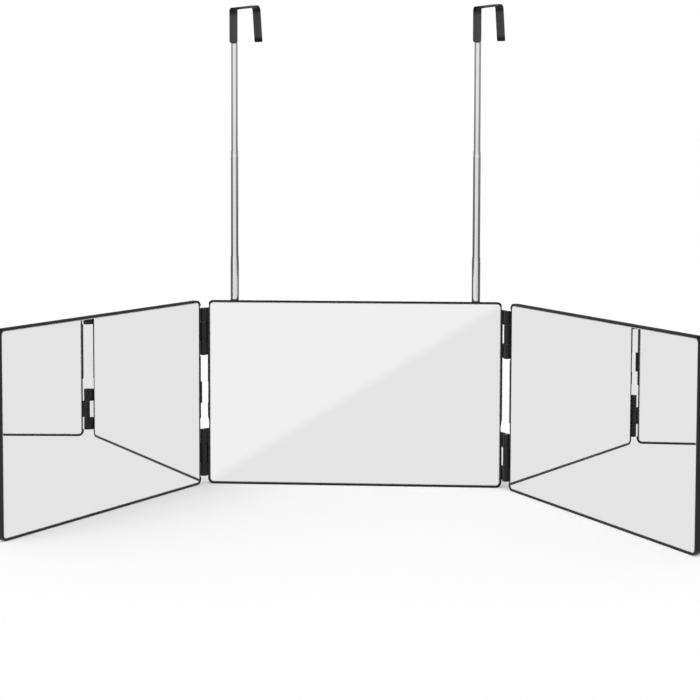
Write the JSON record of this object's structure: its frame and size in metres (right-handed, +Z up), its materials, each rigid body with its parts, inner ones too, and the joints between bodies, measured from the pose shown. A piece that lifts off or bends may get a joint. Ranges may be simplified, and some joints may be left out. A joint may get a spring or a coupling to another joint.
{
  "type": "folding mirror",
  "caption": "Three-panel folding mirror in black plastic trays that hangs by strap hooks on telescoping poles and closes into a flat case.",
  "frame": {"origin": "middle of the centre tray's bottom face", "axes": "+X to the right of someone looking into the mirror, +Y towards the back, +Z up"},
  "size_m": [0.614, 0.3306, 0.4917],
  "materials": {
    "case_plastic": "satin black moulded plastic",
    "inner_plastic": "plain black moulded plastic",
    "mirror_glass": "silvered glass",
    "chrome_tube": "polished plating",
    "pin_steel": "bright drawn wire",
    "screw_steel": "blackened steel",
    "hook_coat": "matt black dipped coating on steel strap",
    "plug_plastic": "natural white plastic",
    "foam_tape": "white foam tape"
  },
  "bodies": {
    "center": {"center_tray": "case_plastic", "carrier_plate": "inner_plastic", "center_glass": "mirror_glass", "center_tape": "foam_tape", "case_screws": "screw_steel", "left_outer_tube": "chrome_tube", "left_hinge_pins": "pin_steel", "right_outer_tube": "chrome_tube", "right_hinge_pins": "pin_steel"},
    "left_wing": {"left_wing_shell": "case_plastic", "left_wing_glass": "mirror_glass", "left_wing_tape": "foam_tape"},
    "left_base": {"left_base_tube": "chrome_tube"},
    "left_middle": {"left_middle_tube": "chrome_tube"},
    "left_plug": {"left_rod_plug": "plug_plastic"},
    "left_hook": {"left_top_rod": "chrome_tube", "left_hook_strap": "hook_coat"},
    "right_wing": {"right_wing_shell": "case_plastic", "right_wing_glass": "mirror_glass", "right_wing_tape": "foam_tape"},
    "right_base": {"right_base_tube": "chrome_tube"},
    "right_middle": {"right_middle_tube": "chrome_tube"},
    "right_plug": {"right_rod_plug": "plug_plastic"},
    "right_hook": {"right_top_rod": "chrome_tube", "right_hook_strap": "hook_coat"}
  },
  "joints": [
    {"name": "left_wing_fold", "type": "hinge", "parent": "center", "child": "left_wing", "pos_m": [-0.1544, -0.0079, 0.095], "axis": [0, 0, -1], "range_deg": [-119, 61]},
    {"name": "left_base_slide", "type": "slide", "parent": "center", "child": "left_base", "axis": [0, 0, 1], "range_m": [-0.0887, 0.034]},
    {"name": "left_middle_slide", "type": "slide", "parent": "left_base", "child": "left_middle", "axis": [0, 0, 1], "range_m": [-0.106, 0.018]},
    {"name": "left_rod_slide", "type": "slide", "parent": "left_middle", "child": "left_plug", "axis": [0, 0, 1], "range_m": [-0.1079, 0.0184]},
    {"name": "left_hook_swivel", "type": "hinge", "parent": "left_plug", "child": "left_hook", "pos_m": [-0.123, 0.00125, 0.4], "axis": [0, 0, 1], "range_deg": [-66, 114]},
    {"name": "right_wing_fold", "type": "hinge", "parent": "center", "child": "right_wing", "pos_m": [0.1544, -0.0142, 0.095], "axis": [0, 0, 1], "range_deg": [-119, 61]},
    {"name": "right_base_slide", "type": "slide", "parent": "center", "child": "right_base", "axis": [0, 0, 1], "range_m": [-0.0887, 0.034]},
    {"name": "right_middle_slide", "type": "slide", "parent": "right_base", "child": "right_middle", "axis": [0, 0, 1], "range_m": [-0.106, 0.018]},
    {"name": "right_rod_slide", "type": "slide", "parent": "right_middle", "child": "right_plug", "axis": [0, 0, 1], "range_m": [-0.1079, 0.0184]},
    {"name": "right_hook_swivel", "type": "hinge", "parent": "right_plug", "child": "right_hook", "pos_m": [0.123, 0.00125, 0.4], "axis": [0, 0, -1], "range_deg": [-120, 60]}
  ]
}
